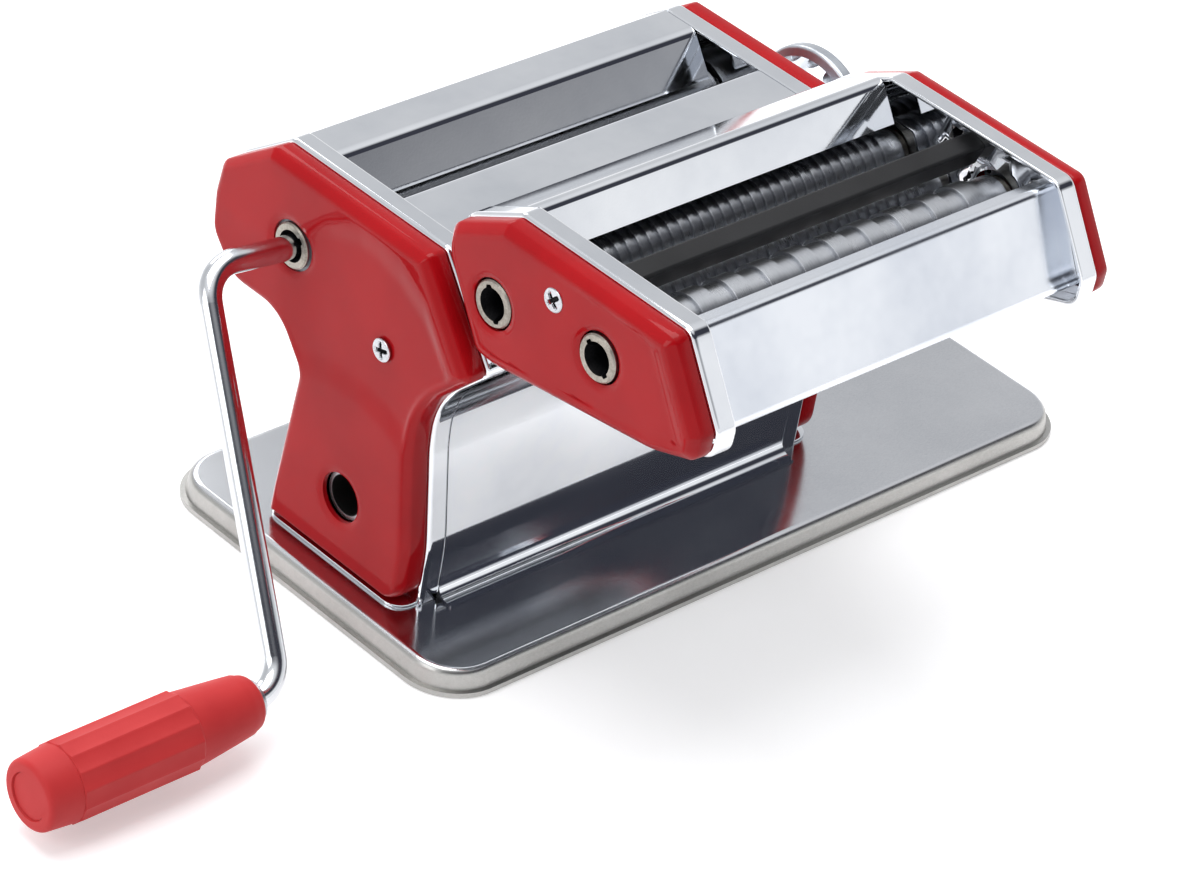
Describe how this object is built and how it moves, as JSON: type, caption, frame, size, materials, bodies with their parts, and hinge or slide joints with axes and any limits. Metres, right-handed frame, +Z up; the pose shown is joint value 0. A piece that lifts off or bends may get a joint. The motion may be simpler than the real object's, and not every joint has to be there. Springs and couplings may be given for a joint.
{
  "type": "hand cranked pasta machine",
  "caption": "Hand cranked pasta sheet roller on a mirror tray, red side covers, hooked-on noodle cutter, crank with red grip and thickness knob.",
  "frame": {"origin": "on the table under the machine, midway between the side frames, 41 mm behind the front foot line of the side frames", "axes": "+X along the rollers away from the crank, +Y to the rear of the machine, +Z up; the cutter is on -Y"},
  "size_m": [0.3938, 0.1987, 0.1506],
  "materials": {
    "enamel_red": "gloss",
    "mirror_steel": "mirror",
    "chrome": "polished",
    "bright_steel": "satin",
    "roller_steel": "satin",
    "bush_steel": "satin",
    "gear_steel": "oiled",
    "grip_plastic": "satin",
    "dark_plastic": "satin",
    "foam": "matte"
  },
  "bodies": {
    "machine": {"base_plate": "mirror_steel", "base_mat": "foam", "base_screws": "bright_steel", "side_frame_left": "chrome", "side_frame_right": "chrome", "side_cover_left": "enamel_red", "side_cover_right": "enamel_red", "cover_screws": "bright_steel", "front_panel": "mirror_steel", "rear_panel": "mirror_steel", "chute_plate": "bright_steel", "top_cover_front": "mirror_steel", "top_cover_rear": "mirror_steel", "tie_rods": "bright_steel", "tie_rod_nuts": "bright_steel", "clamp_socket_left": "bright_steel", "clamp_socket_right": "bright_steel", "drive_bushes": "bush_steel", "scraper_rear": "dark_plastic", "index_plate": "chrome", "index_screws": "bright_steel"},
    "drive": {"drive_roller": "roller_steel", "drive_gear": "gear_steel"},
    "carriage": {"bearing_block_left": "dark_plastic", "bearing_block_right": "dark_plastic", "yoke_bar": "bright_steel", "scraper_front": "dark_plastic"},
    "moving": {"moving_roller": "roller_steel", "mate_gear": "gear_steel"},
    "regulator": {"regulator_shaft": "bright_steel", "knob_screw": "bright_steel", "knob_spring": "bright_steel"},
    "knob": {"knob": "chrome", "knob_cap": "chrome", "index_pin": "bright_steel"},
    "crank": {"crank_rod": "chrome", "crank_pin": "bright_steel", "grip_washer": "bright_steel"},
    "grip": {"grip": "grip_plastic", "grip_cap": "grip_plastic"},
    "cutter": {"cutter_frame_left": "chrome", "cutter_frame_right": "chrome", "cutter_cover_left": "enamel_red", "cutter_cover_right": "enamel_red", "cutter_cover_screws": "bright_steel", "cutter_front_panel": "mirror_steel", "cutter_rear_panel": "mirror_steel", "cutter_mid_guide": "dark_plastic", "cutter_tie_rods": "bright_steel", "cutter_bushes": "bush_steel", "narrow_comb": "dark_plastic", "wide_comb": "dark_plastic"},
    "narrow_drive": {"narrow_drive_roller": "roller_steel", "narrow_drive_gear": "gear_steel"},
    "narrow_mate": {"narrow_mate_roller": "roller_steel", "narrow_mate_gear": "gear_steel"},
    "wide_drive": {"wide_drive_roller": "roller_steel", "wide_drive_gear": "gear_steel"},
    "wide_mate": {"wide_mate_roller": "roller_steel", "wide_mate_gear": "gear_steel"}
  },
  "joints": [
    {"name": "main_turn", "type": "hinge", "parent": "machine", "child": "drive", "pos_m": [0, 0.02, 0.1], "axis": [1, 0, 0], "continuous": true},
    {"name": "carriage_slide", "type": "slide", "parent": "machine", "child": "carriage", "axis": [0, 1, 0], "range_m": [0, 0.0024]},
    {"name": "moving_turn", "type": "hinge", "parent": "carriage", "child": "moving", "pos_m": [0, -0.0089, 0.1], "axis": [1, 0, 0], "continuous": true},
    {"name": "knob_turn", "type": "hinge", "parent": "machine", "child": "regulator", "pos_m": [0.085, -0.0055, 0.1005], "axis": [1, 0, 0], "range_deg": [0, 180]},
    {"name": "knob_pull", "type": "slide", "parent": "regulator", "child": "knob", "axis": [1, 0, 0], "range_m": [0, 0.003], "stiffness_N_per_m": 800, "springref_m": -0.002, "deforming": ["knob_spring"]},
    {"name": "crank_pull", "type": "slide", "parent": "drive", "child": "crank", "axis": [-1, 0, 0], "range_m": [0, 0.022]},
    {"name": "grip_spin", "type": "hinge", "parent": "crank", "child": "grip", "pos_m": [-0.19, -0.05628, 0.01528], "axis": [1, 0, 0], "continuous": true},
    {"name": "cutter_lift", "type": "slide", "parent": "machine", "child": "cutter", "axis": [0, 0, 1], "range_m": [0, 0.045]},
    {"name": "narrow_turn", "type": "hinge", "parent": "cutter", "child": "narrow_drive", "pos_m": [0, -0.0598, 0.1237], "axis": [1, 0, 0], "continuous": true},
    {"name": "narrow_mate_turn", "type": "hinge", "parent": "cutter", "child": "narrow_mate", "pos_m": [0, -0.07662, 0.12012], "axis": [1, 0, 0], "continuous": true},
    {"name": "wide_turn", "type": "hinge", "parent": "cutter", "child": "wide_drive", "pos_m": [0, -0.1013, 0.1295], "axis": [1, 0, 0], "continuous": true},
    {"name": "wide_mate_turn", "type": "hinge", "parent": "cutter", "child": "wide_mate", "pos_m": [0, -0.11663, 0.12169], "axis": [1, 0, 0], "continuous": true}
  ],
  "couplings": [
    {"joint": "moving_turn", "follows": "main_turn", "ratio": -1},
    {"joint": "carriage_slide", "follows": "knob_turn", "m_per_rad": 0.00076394},
    {"joint": "narrow_mate_turn", "follows": "narrow_turn", "ratio": -1},
    {"joint": "wide_mate_turn", "follows": "wide_turn", "ratio": -1}
  ]
}
